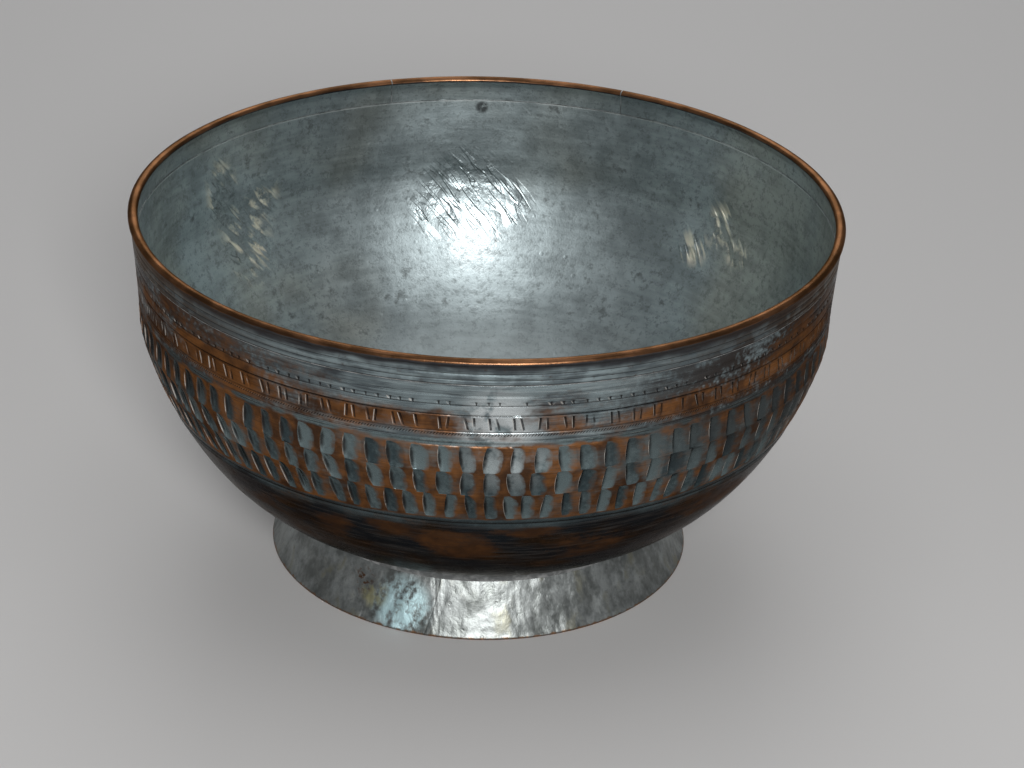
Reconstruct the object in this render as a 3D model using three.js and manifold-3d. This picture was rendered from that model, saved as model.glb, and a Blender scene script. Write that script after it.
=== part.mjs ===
// A footed copper bowl, tinned inside and out, standing on its foot ring.
// Lengths are in millimetres, +Z is up, and the origin is at the centre of the foot, on the table.
// The front is towards -Y. Angles round the bowl start there and grow towards +X.

import * as THREE from 'three';
import { mergeVertices } from 'three/addons/utils/BufferGeometryUtils.js';
import { ConvexGeometry } from 'three/addons/geometries/ConvexGeometry.js';
import Module from 'manifold-3d';

const wasm = await Module();
wasm.setup();

const { degToRad, radToDeg } = THREE.MathUtils;

// Overall sizes
const bowlHeight = 127.2;
const rimRadius = 120;

// Body, raised from one sheet. Its lower half is a superellipse, its upper half flares a little
const wall = 1.5;
const wallFlare = 2.4;
const bellyHeight = 88.5;
const undersideHeight = 16.8;
const undersideFlatness = 1.2;
const undersideFullness = 4.2;
const flareCurve = 1.5;

// Rim band, two lengths of thicker strip brazed on the top edge of the body
const rimBandHeight = 9;
const rimBandRecess = 0.2;
const lipWidth = 3.4;
const lipHeight = 1.5;
const lipOverhang = 0.6;
const rimSeamAngles = [155.7, 198.3];
const brazeGap = 0.3;

// Foot ring, a flared band soldered under the body
const footBottomRadius = 73.2;
const footTopRadius = 63.5;
const footWall = 1.6;
const solderLeg = 3.2;
const solderGap = 0.3;

// Border grooves, measured down from the top edge of the body
const grooveDrops = [10.6, 19.1, 53];
const grooveWidth = 1.2;
const grooveDepth = 0.4;

// Chased rows, from the shoulder down. Each mark is one slanting blow of a round-nosed punch:
// deepest against a steep wall on its left, and running out to a rounded edge on its right
const chasedRowsDrop = 21.9;
const chasedRows = [
  { height: 8.9, marks: 98, widthShare: 0.66 },
  { height: 9.3, marks: 98, widthShare: 0.66 },
  { height: 10.4, marks: 116, widthShare: 0.64 },
];
const markDepth = 0.8;
const markWallLean = 20;
const markEndLand = 0.3;
const markDeepShare = 0.62;
const markSteepShare = 0.82;
const markRunOutAngle = 58;

// Facets round the surfaces, on the outside one to each mark of the upper rows, and steps along the outlines
const outerFacets = chasedRows[0].marks;
const innerFacets = outerFacets / 2;
const stepsUnderFoot = 2;
const stepsToRows = 5;
const lipSteps = 4;
const runOutSteps = 2;
const mergeDistance = 1e-4;

const rimJointHeight = bowlHeight - rimBandHeight;
const lipUnderside = bowlHeight - lipHeight;
const neckRadius = rimRadius - lipOverhang;
const bellyRadius = neckRadius - wallFlare;

// Outline of the body

function outerRadius(height) {
  if (height >= bellyHeight) {
    const rise = (height - bellyHeight) / (lipUnderside - bellyHeight);
    return bellyRadius + wallFlare * rise ** flareCurve;
  }
  const drop = (bellyHeight - height) / (bellyHeight - undersideHeight);
  return bellyRadius * (1 - drop ** undersideFlatness) ** (1 / undersideFullness);
}

function undersideAt(radius) {
  const drop = (1 - (radius / bellyRadius) ** undersideFullness) ** (1 / undersideFlatness);
  return bellyHeight - drop * (bellyHeight - undersideHeight);
}

function onBody(height) {
  return new THREE.Vector2(outerRadius(height), height);
}

// The superellipse of the lower half, between two radii
class UndersideCurve extends THREE.Curve {
  constructor(fromRadius, toRadius) {
    super();
    this.fromAngle = Math.acos((fromRadius / bellyRadius) ** (undersideFullness / 2));
    this.toAngle = Math.acos((toRadius / bellyRadius) ** (undersideFullness / 2));
  }

  getPoint(share) {
    const angle = this.fromAngle + share * (this.toAngle - this.fromAngle);
    const radius = bellyRadius * Math.max(Math.cos(angle), 0) ** (2 / undersideFullness);
    const drop = Math.sin(angle) ** (2 / undersideFlatness);
    return new THREE.Vector2(radius, bellyHeight - drop * (bellyHeight - undersideHeight));
  }
}

// From the axis outwards and up: evenly spaced points to the first height, then one at each height
function bodyOutline(heights) {
  const underFoot = new UndersideCurve(0, footTopRadius).getSpacedPoints(stepsUnderFoot);
  const lowerBody = new UndersideCurve(footTopRadius, outerRadius(heights[0])).getSpacedPoints(stepsToRows);
  underFoot[0].x = 0;
  return [...underFoot, ...lowerBody.slice(1), ...heights.slice(1).map(onBody)];
}

function grooveAt(height) {
  const bottom = new THREE.Vector2(outerRadius(height) - grooveDepth, height);
  return [onBody(height - grooveWidth / 2), bottom, onBody(height + grooveWidth / 2)];
}

function withGrooves(outline) {
  const grooves = grooveDrops.map((drop) => grooveAt(rimJointHeight - drop));
  const outsideGrooves = outline.filter((point) => (
    grooves.every(([lower, , upper]) => point.y <= lower.y || point.y >= upper.y)
  ));
  return [...outsideGrooves, ...grooves.flat()].sort((a, b) => a.y - b.y);
}

// The same outline moved inwards by a thickness, ending level with its top point
function offsetInwards(outline, thickness) {
  const normals = outline.slice(1).map((point, index) => {
    const along = point.clone().sub(outline[index]).normalize();
    return new THREE.Vector2(along.y, -along.x);
  });
  return outline.map((point, index) => {
    if (index === 0) {
      return new THREE.Vector2(0, point.y + thickness);
    }
    if (index === outline.length - 1) {
      return new THREE.Vector2(point.x - thickness / normals.at(-1).x, point.y);
    }
    const before = normals[index - 1];
    const middle = before.clone().add(normals[index]).normalize();
    return point.clone().addScaledVector(middle, -thickness / middle.dot(before));
  });
}

// Top and bottom heights of the chased rows, from the shoulder down
function rowEdges() {
  let top = rimJointHeight - chasedRowsDrop;
  return chasedRows.map((row) => {
    const edges = { top, bottom: top - row.height };
    top = edges.bottom;
    return edges;
  });
}

// Turned shapes, and solids that can be cut and joined

function turned(profile, facets) {
  const geometry = new THREE.LatheGeometry(profile, facets);
  geometry.rotateX(Math.PI / 2);
  return geometry;
}

function closedRing(corners, facets) {
  return turned([...corners, corners[0].clone()], facets);
}

function toSolid(geometry) {
  const bare = geometry.clone();
  bare.deleteAttribute('normal');
  bare.deleteAttribute('uv');
  const merged = mergeVertices(bare, mergeDistance);
  return new wasm.Manifold(new wasm.Mesh({
    numProp: 3,
    vertProperties: merged.attributes.position.array,
    triVerts: new Uint32Array(merged.index.array),
  }));
}

function toGeometry(solid) {
  const mesh = solid.getMesh();
  const geometry = new THREE.BufferGeometry();
  geometry.setAttribute('position', new THREE.BufferAttribute(mesh.vertProperties, 3));
  geometry.setIndex(new THREE.BufferAttribute(mesh.triVerts, 1));
  geometry.computeVertexNormals();
  return geometry;
}

// Body

// The hollow left by one blow, with its top carried on past the metal's surface. It lies on a flat patch
// whose middle is the origin: x to the right, y up the wall, z out of the metal
function markCutter(width, height) {
  const proud = 2 * markDepth;
  const wallShift = markDepth * Math.tan(degToRad(markWallLean));
  const deepX = wallShift - width / 2;
  const deepEnd = markDeepShare * (height / 2);
  const steepEnd = markSteepShare * (height / 2);
  const steepX = -width / 2 - wallShift * (proud / markDepth);
  const points = [-1, 1].flatMap((side) => [
    new THREE.Vector3(deepX, side * deepEnd, -markDepth),
    new THREE.Vector3(steepX, side * steepEnd, proud),
  ]);
  const slope = (markDepth + proud) / markDepth;
  const endAngle = degToRad(markRunOutAngle);
  const runOut = new THREE.EllipseCurve(-width / 2, 0, width, height / 2, -endAngle, endAngle);
  runOut.getPoints(runOutSteps).forEach((point) => {
    const nearest = THREE.MathUtils.clamp(point.y, -deepEnd, deepEnd);
    const x = deepX + (point.x - deepX) * slope;
    const y = nearest + (point.y - nearest) * slope;
    points.push(new THREE.Vector3(x, y, proud));
  });
  return new ConvexGeometry(points);
}

// The hollows of one row, joined, each square to the wall at the row's middle height
function chasedRow(row, edges) {
  const low = onBody(edges.bottom);
  const high = onBody(edges.top);
  const upTheWall = high.clone().sub(low);
  const middle = low.clone().add(high).multiplyScalar(0.5);
  const pitch = (2 * Math.PI) / row.marks;
  const cutter = markCutter(row.widthShare * pitch * middle.x, upTheWall.length() - markEndLand);
  const facetRadius = middle.x * Math.cos(Math.PI / outerFacets);
  cutter.rotateX(Math.PI / 2 + Math.atan2(upTheWall.x, upTheWall.y));
  cutter.translate(0, -facetRadius, middle.y);
  const hollows = Array.from({ length: row.marks }, (_, index) => (
    toSolid(cutter.clone().rotateZ((index + 0.5) * pitch))
  ));
  return hollows.reduce((joined, hollow) => joined.add(hollow));
}

function bodyShell() {
  const edges = rowEdges();
  const rowHeights = [edges.at(-1).bottom, ...edges.map((row) => row.top).reverse()];
  const outline = withGrooves(bodyOutline([...rowHeights, rimJointHeight]));
  const block = toSolid(turned([...outline, new THREE.Vector2(0, rimJointHeight)], outerFacets));
  const inside = offsetInwards(bodyOutline([rowHeights[0], bellyHeight, rimJointHeight]), wall);
  const mouth = new THREE.Vector2(inside.at(-1).x, bowlHeight);
  const hollow = toSolid(turned([...inside, mouth, new THREE.Vector2(0, bowlHeight)], innerFacets));
  return chasedRows.reduce(
    (shell, row, index) => shell.subtract(chasedRow(row, edges[index])),
    block.subtract(hollow),
  );
}

// Rim band

// The body's wall carried on upwards, a little set back inside, and swelling into a rounded lip
function rimBandSection() {
  const bottom = rimJointHeight + brazeGap;
  const innerRadius = outerRadius(rimJointHeight) - wall + rimBandRecess;
  const swellHeight = lipUnderside - lipHeight / 2;
  const lipCentre = rimRadius - lipWidth / 2;
  const lip = new THREE.EllipseCurve(lipCentre, lipUnderside, lipWidth / 2, lipHeight, 0, Math.PI);
  return [
    new THREE.Vector2(innerRadius, bottom),
    onBody(bottom),
    onBody(swellHeight),
    ...lip.getPoints(lipSteps),
    new THREE.Vector2(innerRadius, swellHeight - lipWidth / 2),
  ];
}

// An upright wedge from the axis, between two angles from the front
function wedge(fromAngle, toAngle) {
  const reach = 2 * rimRadius;
  const outline = new THREE.Shape([
    new THREE.Vector2(0, 0),
    new THREE.Vector2(0, -reach).rotateAround(new THREE.Vector2(), degToRad(fromAngle)),
    new THREE.Vector2(0, -reach).rotateAround(new THREE.Vector2(), degToRad(toAngle)),
  ]);
  return toSolid(new THREE.ExtrudeGeometry(outline, { depth: 2 * bowlHeight, bevelEnabled: false }));
}

function rimBands() {
  const ring = toSolid(closedRing(rimBandSection(), outerFacets));
  const halfGap = radToDeg(brazeGap / 2 / rimRadius);
  const [first, last] = rimSeamAngles;
  return {
    long: ring.subtract(wedge(first - halfGap, last + halfGap)),
    insert: ring.intersect(wedge(first + halfGap, last - halfGap)),
  };
}

// Foot

// The ring's top edge follows the slope of the underside, a solder gap below it
const footTopInnerRadius = footTopRadius - footWall;
const footTopHeight = undersideAt(footTopRadius) - solderGap;

function footRadius(height) {
  return footBottomRadius + (height / footTopHeight) * (footTopRadius - footBottomRadius);
}

function footRing() {
  const corners = [
    new THREE.Vector2(footBottomRadius - footWall, 0),
    new THREE.Vector2(footBottomRadius, 0),
    new THREE.Vector2(footTopRadius, footTopHeight),
    new THREE.Vector2(footTopInnerRadius, undersideAt(footTopInnerRadius) - solderGap),
  ];
  return closedRing(corners, outerFacets);
}

// A fillet in the corner between the ring and the underside; side is 1 outside the ring and -1 inside
function solderFillet(side) {
  const thickness = side > 0 ? 0 : footWall;
  const cornerRadius = footTopRadius - thickness + side * solderGap;
  const cornerHeight = undersideAt(cornerRadius) - solderGap;
  const lowHeight = cornerHeight - solderLeg;
  const outRadius = cornerRadius + side * solderLeg;
  const corners = [
    new THREE.Vector2(cornerRadius, cornerHeight),
    new THREE.Vector2(footRadius(lowHeight) - thickness + side * solderGap, lowHeight),
    new THREE.Vector2(outRadius, undersideAt(outRadius) - solderGap),
  ];
  return closedRing(side > 0 ? corners : corners.reverse(), innerFacets);
}

// Finishes

function metal(colour, roughness) {
  return new THREE.MeshStandardMaterial({ color: colour, roughness, metalness: 1 });
}

const bowl = new THREE.Group();

function addPiece(name, geometry, material) {
  const mesh = new THREE.Mesh(geometry, material);
  mesh.name = name;
  bowl.add(mesh);
}

const bands = rimBands();
addPiece('bowl_shell', toGeometry(bodyShell()), metal(0x8f8a84, 0.45));
addPiece('rim_band_long', toGeometry(bands.long), metal(0xb06a3c, 0.4));
addPiece('rim_band_insert', toGeometry(bands.insert), metal(0xb0724a, 0.4));
addPiece('foot_ring', footRing(), metal(0xb9bbb8, 0.3));
addPiece('foot_solder_outer', solderFillet(1), metal(0x9a9c9b, 0.5));
addPiece('foot_solder_inner', solderFillet(-1), metal(0x9a9c9b, 0.5));

export default bowl;
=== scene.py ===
"""A footed copper bowl, tinned inside and out, on a plain pale floor.

Lengths in the tables are millimetres, and meshes are drawn in metres. The front is towards -Y.
Angles round the bowl start there and grow towards +X.
"""

import math
from functools import reduce

import bmesh
import bpy
import numpy as np
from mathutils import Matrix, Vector


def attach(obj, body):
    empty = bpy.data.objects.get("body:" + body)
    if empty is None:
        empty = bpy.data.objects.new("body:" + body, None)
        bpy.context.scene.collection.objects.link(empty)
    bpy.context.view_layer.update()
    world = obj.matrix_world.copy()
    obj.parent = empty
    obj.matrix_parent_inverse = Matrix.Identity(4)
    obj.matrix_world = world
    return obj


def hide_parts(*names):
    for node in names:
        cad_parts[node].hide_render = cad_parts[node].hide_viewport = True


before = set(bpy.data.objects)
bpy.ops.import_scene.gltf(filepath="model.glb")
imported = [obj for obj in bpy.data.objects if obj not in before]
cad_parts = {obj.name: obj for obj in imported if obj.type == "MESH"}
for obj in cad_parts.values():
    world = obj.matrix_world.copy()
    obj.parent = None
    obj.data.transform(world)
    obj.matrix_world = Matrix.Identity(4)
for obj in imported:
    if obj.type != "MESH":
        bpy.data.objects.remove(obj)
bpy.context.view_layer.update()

MM = 0.001
FULL_TURN = 2 * math.pi

# Overall sizes
BOWL_HEIGHT = 127.2
RIM_RADIUS = 120.0
WALL = 1.5
NECK_RADIUS = 119.4
BELLY_RADIUS = 117.0
BELLY_HEIGHT = 88.5
UNDERSIDE_HEIGHT = 16.8
UNDERSIDE_FLATNESS = 1.2
UNDERSIDE_FULLNESS = 4.2
FLARE_CURVE = 1.5
RIM_JOINT_HEIGHT = 118.2
BRAZE_GAP = 0.3
LIP_WIDTH = 3.4
LIP_HEIGHT = 1.5
LIP_UNDERSIDE = BOWL_HEIGHT - LIP_HEIGHT
RIM_SEAMS = (155.7, 198.3)
FOOT_BOTTOM_RADIUS = 73.2
FOOT_TOP_RADIUS = 63.5
FOOT_WALL = 1.6
SOLDER_LEG = 3.2
SOLDER_GAP = 0.3

# Vertices round each belt of the wall
PLAIN_COLUMNS = 392
ROPE_COLUMNS = 1568
UNDER_FOOT_COLUMNS = 196

# Chased rows: lower edge, upper edge, marks, width of a mark as a share of its pitch, seed
MARKS_ROUND = 98
CHASED_ROWS = {
    "row_low": (67.8, 78.05, 116, 0.64, 11),
    "row_middle": (78.15, 87.35, MARKS_ROUND, 0.66, 12),
    "row_high": (87.45, 96.3, MARKS_ROUND, 0.66, 13),
}
MARK_STEPS = np.array([-1, -0.95, -0.85, -0.64, -0.32, 0, 0.32, 0.64, 0.85, 0.95, 1])
MARK_DEPTH = 0.62
MARK_LEAN = 0.24  # width of its steep wall

# The columns of one mark, from the land on its left to the land on its right, as shares of its full value
MARK_HOLLOW = (0, 0, 0, 1, 0.92, 0.68, 0.36, 0.08, 0)
# The raised edge on the left of each hollow, with a painted highlight line along it
MARK_BURR_AND_HIGHLIGHT = (0, 0, 1, 0, 0, 0, 0, 0, 0)
MARK_TINNED = (0, 0, 0.3, 0.95, 1, 0.85, 0.62, 0.42, 0.1)
# Dirt and painted shade on the floor of each hollow, beside its steep wall
MARK_DIRT_AND_SHADE = (0, 0, 0.4, 0.85, 0.35, 0, 0, 0, 0)
MARK_LANDS = (-0.05, 0, 0, 0, 0, 0, 0, 0, -0.03)
COLUMNS_PER_MARK = len(MARK_HOLLOW)

# Radius of the wall at the borders, and how deep a turned line is where it is fully darkened with dirt and
# painted shade
BORDER_RADIUS = 118
DARK_LINE_DEPTH = 0.3
FINE_DARK_LINE_DEPTH = 0.16

UNDER_FOOT_RADIUS = 62.8
INSIDE_TURN_HEIGHT = 45
SHARP_ANGLE = 85


# Modelling by hand

def spun_line(name, line, columns, start=0.0, sweep=360.0):
    """A line of (radius, height) points, drawn out of one vertex and spun about the bowl's axis.
    Spin turns clockwise seen from above, so it starts at the far end of the sweep."""
    side = math.radians(start + sweep)
    points = [Vector((r * math.sin(side), -r * math.cos(side), z)) * MM for r, z in line]
    bpy.ops.object.select_all(action="DESELECT")
    bpy.ops.mesh.primitive_plane_add(size=MM, location=(0, 0, 0), enter_editmode=True)
    bpy.ops.mesh.merge(type="CENTER")
    bpy.ops.transform.translate(value=points[0])
    for before, after in zip(points, points[1:]):
        bpy.ops.mesh.extrude_region_move(TRANSFORM_OT_translate={"value": after - before})
    bpy.ops.mesh.select_all(action="SELECT")
    bpy.ops.mesh.spin(steps=columns, angle=math.radians(sweep), center=(0, 0, 0), axis=(0, 0, 1))
    bpy.ops.mesh.select_all(action="SELECT")
    bpy.ops.mesh.remove_doubles(threshold=1e-7)
    bpy.ops.object.mode_set(mode="OBJECT")
    piece = bpy.context.object
    piece.name = piece.data.name = name
    return piece


def points_of(piece):
    co = np.zeros(len(piece.data.vertices) * 3)
    piece.data.vertices.foreach_get("co", co)
    return co.reshape(-1, 3) / MM


def move_points(piece, points):
    piece.data.vertices.foreach_set("co", (points * MM).ravel())
    piece.data.update()


def points_at(radius, angle, height):
    return np.stack([radius * np.sin(angle), -radius * np.cos(angle), height], 1)


def around(points):
    """Angle round the bowl from the front, in radians."""
    return np.arctan2(points[:, 0], -points[:, 1])


def from_axis(points):
    return np.hypot(points[:, 0], points[:, 1])


def flattened(points):
    """Radius and height of each point."""
    return np.stack([from_axis(points), points[:, 2]], 1)


def turn_normals_out():
    """Turns the faces of the mesh in edit mode outwards, and leaves edit mode."""
    bpy.ops.mesh.select_all(action="SELECT")
    bpy.ops.mesh.normals_make_consistent(inside=False)
    bpy.ops.object.mode_set(mode="OBJECT")


def select_only(*pieces):
    bpy.ops.object.select_all(action="DESELECT")
    for piece in pieces:
        piece.select_set(True)
    bpy.context.view_layer.objects.active = pieces[0]


def paint(piece, name, values, kind="FLOAT"):
    """A value at each vertex, for the finish to read."""
    layer = piece.data.attributes.get(name) or piece.data.attributes.new(name, kind, "POINT")
    layer.data.foreach_set("value", np.ascontiguousarray(values))


def share_of(values):
    """The values, kept between 0 and 1."""
    return np.clip(values, 0, 1)


def step(value, low, high):
    """0 below low and 1 above high, smooth between."""
    share = share_of((np.asarray(value, float) - low) / (high - low))
    return share * share * (3 - 2 * share)


def wander(angle, seed, waves):
    """A slow random wave round the bowl, about 1 high at most."""
    draw = np.random.default_rng(seed)
    total = sum(draw.normal(0, 1) * np.sin(n * angle + draw.uniform(0, FULL_TURN)) / n ** 0.5 for n in waves)
    return total / 2.5


# Outline of the body

def outer_radius(height):
    height = np.asarray(height, float)
    rise = np.clip((height - BELLY_HEIGHT) / (LIP_UNDERSIDE - BELLY_HEIGHT), 0, None)
    drop = share_of((BELLY_HEIGHT - height) / (BELLY_HEIGHT - UNDERSIDE_HEIGHT))
    upper = BELLY_RADIUS + (NECK_RADIUS - BELLY_RADIUS) * rise ** FLARE_CURVE
    lower = BELLY_RADIUS * (1 - drop ** UNDERSIDE_FLATNESS) ** (1 / UNDERSIDE_FULLNESS)
    return np.where(height >= BELLY_HEIGHT, upper, lower)


def underside_at(radius):
    drop = (1 - (np.asarray(radius, float) / BELLY_RADIUS) ** UNDERSIDE_FULLNESS) ** (1 / UNDERSIDE_FLATNESS)
    return BELLY_HEIGHT - drop * (BELLY_HEIGHT - UNDERSIDE_HEIGHT)


def wall_line(heights):
    heights = np.asarray(heights, float)
    return np.stack([outer_radius(heights), heights], 1)


def lengths_along(line):
    return np.concatenate([[0], np.cumsum(np.hypot(*np.diff(line, axis=0).T))])


def evenly(line, count):
    """The same line with evenly spaced points."""
    along = lengths_along(line)
    at = np.linspace(0, along[-1], count)
    return np.stack([np.interp(at, along, line[:, 0]), np.interp(at, along, line[:, 1])], 1)


def underside_line(inner, outer, count):
    radii = np.linspace(inner, outer, 600)
    return evenly(np.stack([radii, underside_at(radii)], 1), count)


def normals(line):
    """Unit normals out of the metal, for a line that runs up the outside or down the inside."""
    along = np.gradient(line, axis=0)
    along /= np.hypot(along[:, 0], along[:, 1])[:, None]
    return np.stack([along[:, 1], -along[:, 0]], 1)


def inside_line(count):
    """The body's inside, from its top edge down to the middle of the floor."""
    curve = np.concatenate([
        wall_line(np.linspace(RIM_JOINT_HEIGHT, INSIDE_TURN_HEIGHT, 400)),
        underside_line(0, float(outer_radius(INSIDE_TURN_HEIGHT)), 500)[::-1][1:],
    ])
    line = curve + normals(curve) * WALL
    line[0, 1] = RIM_JOINT_HEIGHT
    line[-1, 0] = 0
    return evenly(line, count)


# Belts of the body

def belt(name, line, columns, work):
    """One belt of the body, spun and then worked. work changes each vertex's angle and its depth under
    the plain wall, and adds what it is painted with, as arrays of rings by columns."""
    piece = spun_line(name, line, columns)
    points = points_of(piece)
    column = np.rint(around(points) / FULL_TURN * columns).astype(int) % columns
    ring = np.argmin(((flattened(points)[:, None] - line[None]) ** 2).sum(-1), 1)
    at = ring, column
    angle = np.tile(np.arange(columns) * FULL_TURN / columns, (len(line), 1))
    depth = np.zeros_like(angle)
    paints = {}
    work(line, angle, depth, paints)
    out = normals(line)
    radius = line[:, :1] - depth * out[:, :1]
    height = line[:, 1:] - depth * out[:, 1:]
    move_points(piece, points_at(radius[at], angle[at], height[at]))
    for layer, values in paints.items():
        paint(piece, layer, values[at])
    return piece


def lined(heights, lines):
    """Ring heights for a plain belt with turned lines in it, and how deep each ring lies.
    A line is (height, width, depth)."""
    rings = {height: 0.0 for height in heights}
    for height, width, depth in lines:
        rings.update({height - width / 2: 0.0, height: depth, height + width / 2: 0.0})
    heights = np.array(sorted(rings))
    return heights, np.array([rings[height] for height in heights])


def plain_belt(name, heights, lines):
    """A belt with turned lines only."""
    heights, depths = lined(heights, lines)

    def work(line, angle, depth, paints):
        depth += depths[:, None] * (1 + 0.25 * wander(angle, len(heights), (3, 7, 13)))
        paints["sunk"] = np.tile(share_of(depths[:, None] / DARK_LINE_DEPTH), (1, angle.shape[1]))

    return belt(name, wall_line(heights), PLAIN_COLUMNS, work)


def centres_of(count):
    """Angles of the middles of this many marks round the bowl."""
    return (np.arange(count) + 0.5) * (FULL_TURN / count)


def chased_row(name):
    """Hollows left by slanting blows of a round-nosed punch, with a steep wall on their left."""
    low, high, marks, share, seed = CHASED_ROWS[name]
    draw = np.random.default_rng(seed)
    line = wall_line((low + high) / 2 + MARK_STEPS * (high - low) / 2)
    pitch = FULL_TURN / marks

    def scatter():
        return draw.normal(size=marks).clip(-2, 2)

    wide = 1 + 0.09 * scatter()
    aside = 0.28 * scatter()
    slant = 0.3 + 0.35 * scatter()
    force = 1 + 0.16 * scatter()
    end = draw.uniform(0.99, 1.05, size=marks)
    middle = 0.05 * scatter()
    shade = draw.uniform(0, 1, size=marks)
    keen = draw.uniform(0.4, 1.1, size=marks)

    def work(line, angle, depth, paints):
        radius = line[:, :1]
        v = MARK_STEPS[:, None]
        reach = share_of(np.abs(v - middle) / end)
        body = (1 - reach ** 2.6) ** 0.75
        centre = centres_of(marks)
        drift = 0.0
        if name == "row_middle":
            drift = 0.42 * pitch * np.sin(centre - math.radians(5)) ** 2
        width = share * pitch * radius * wide
        left = (centre + drift) * radius - width / 2 + aside
        left = left + slant * -v + 0.1 * width * reach ** 2
        right = left + width * (1 - np.where(v > 0, 0.5, 0.3) * reach ** 4)
        floor = left + np.minimum(MARK_LEAN, (right - left) / 3)
        slope = [floor + part * (right - floor) for part in (0.3, 0.55, 0.8)]
        places = [left - 0.34, left - 0.04, floor, *slope, right, right + 0.5]
        before = np.roll(places[-1], 1, axis=1)
        before[:, 0] -= FULL_TURN * radius[:, 0]
        places.insert(0, (before + places[0]) / 2)

        def by_column(values, shares):
            return (values[:, :, None] * np.array(shares)).reshape(len(v), -1)

        every = np.ones_like(body)
        paints["hollow"] = by_column(share_of(np.sqrt(body) + 0.66), MARK_TINNED)
        # Painted highlight along the raised left edge
        paints["burr"] = by_column(body * keen, MARK_BURR_AND_HIGHLIGHT)
        paints["sunk"] = by_column(body, MARK_DIRT_AND_SHADE)
        paints["shade"] = by_column(every * shade, np.ones(COLUMNS_PER_MARK))
        angle[:] = np.stack(places, 2).reshape(len(v), -1) / radius
        depth += by_column(MARK_DEPTH * force * body, MARK_HOLLOW)
        depth += by_column(-0.15 * np.sqrt(body), MARK_BURR_AND_HIGHLIGHT) + by_column(every, MARK_LANDS)

    return belt(name, line, COLUMNS_PER_MARK * marks, work)


def ticked_belt():
    """Pairs of short upright strokes, between two lines."""
    draw = np.random.default_rng(21)
    count = MARKS_ROUND
    across = np.array([-2.05, -1.75, -1.48, -0.95, -0.65, 0.35, 0.65, 0.92, 1.45, 1.75])
    stroke = np.array([0, 0, 1, 0.9, 0, 0, 0, 1, 0.9, 0])
    edge = np.array([0, 1, 0, 0, 0.3, 0, 1, 0, 0, 0.3])
    slant = draw.normal(0.32, 0.24, size=(count, 1)) + draw.normal(0, 0.2, size=(count, 2))
    hit = draw.uniform(0.28, 0.5, size=(count, 2))
    firm = draw.uniform(0.35, 1.1, size=(2, count, 2)).clip(0, 1)
    hit[draw.random(size=(count, 2)) < 0.05] = 0.04
    middle, half = 104.8, 2.4
    turned = {101.6: 0.05, 101.85: 0.26, 102.15: 0, 102.4: 0, 107.0: 0, 107.25: 0}
    struck = {102.75: firm[0], middle: 1.0, 106.75: firm[1]}
    heights = np.array(sorted((*turned, *struck)))

    def work(line, angle, depth, paints):
        centre = centres_of(count) + 0.35 * draw.normal(size=count).clip(-2, 2) / BORDER_RADIUS
        angle[:] = (centre[:, None] + across / BORDER_RADIUS).reshape(-1)
        lean = np.repeat(slant, 5, axis=1).reshape(-1)
        angle -= np.clip((line[:, 1] - middle) / half, -1, 1)[:, None] * lean / BORDER_RADIUS
        paints["burr"] = np.zeros_like(depth)
        for ring, height in enumerate(heights):
            if height in struck:
                force = np.repeat(hit * struck[height], 5, axis=1)
                depth[ring] += (force * (stroke - 0.14 * edge)).reshape(-1)
                # Painted highlight along the edges of the strokes
                paints["burr"][ring] = (force * 2.2 * edge).reshape(-1)
            else:
                depth[ring] += turned[height]
        paints["sunk"] = np.clip(depth / DARK_LINE_DEPTH, 0, 0.78)

    return belt("ticks", wall_line(heights), len(across) * count, work)


def dotted_belt():
    """Small three-cornered punches standing on a line."""
    draw = np.random.default_rng(22)
    count = 2 * MARKS_ROUND
    heights = np.array([110.8, 111.05, 111.25, 111.45, 111.75, 112.3, 112.6, 112.9])
    spread = np.array([0.5, 0.4, 0.35, 0.35, 0.6, 1.05, 1.15, 0.9])
    punch = np.array([0, 0, 0.1, 0.3, 0.55, 0.62, 0, 0])
    turned = np.array([0, 0.05, 0.16, 0.03, 0, 0, 0, 0])
    hit = draw.uniform(0.55, 1.1, size=count)
    hit[draw.random(size=count) < 0.06] = 0.1

    def work(line, angle, depth, paints):
        centre = centres_of(count) + draw.normal(0, 0.25, size=count) / BORDER_RADIUS
        across = np.stack([-spread, 0 * spread, spread, 0 * spread + 1.89], 1) / BORDER_RADIUS
        angle[:] = (centre[:, None] + across[:, None]).reshape(len(line), -1)
        struck = hit[:, None] * np.array([0, 1, 0, 0])
        depth += (punch[:, None, None] * struck + turned[:, None, None]).reshape(len(line), -1)
        paints["sunk"] = share_of(depth / FINE_DARK_LINE_DEPTH)
        # Painted highlight beside each punch
        edges = share_of(hit[:, None] * np.array([0.75, 0, 0.5, 0])).reshape(-1)
        paints["burr"] = np.where(punch[:, None] > 0.2, edges, 0)

    return belt("dots", wall_line(heights), 4 * count, work)


def rope_belt():
    """A row of fine slanting strokes, like a twisted cord."""
    draw = np.random.default_rng(23)
    heights = np.array([99.98, 100.2, 100.7, 101.2, 101.42])
    slant = np.array([-0.5, -0.5, 0, 0.5, 0.5]) * 0.9 / 117.8
    deep = np.array([0, 0.05, 0.2, 0.16, 0])

    def work(line, angle, depth, paints):
        stroke = np.zeros(ROPE_COLUMNS)
        stroke[1::2] = draw.uniform(0.6, 1.2, size=ROPE_COLUMNS // 2)
        angle += slant[:, None]
        depth += deep[:, None] * stroke
        paints["sunk"] = share_of(depth / FINE_DARK_LINE_DEPTH)
        # Painted highlight on the cord between the strokes
        paints["burr"] = (deep[:, None] > 0.1) * (stroke == 0) * 0.55

    return belt("rope", wall_line(heights), ROPE_COLUMNS, work)


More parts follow.
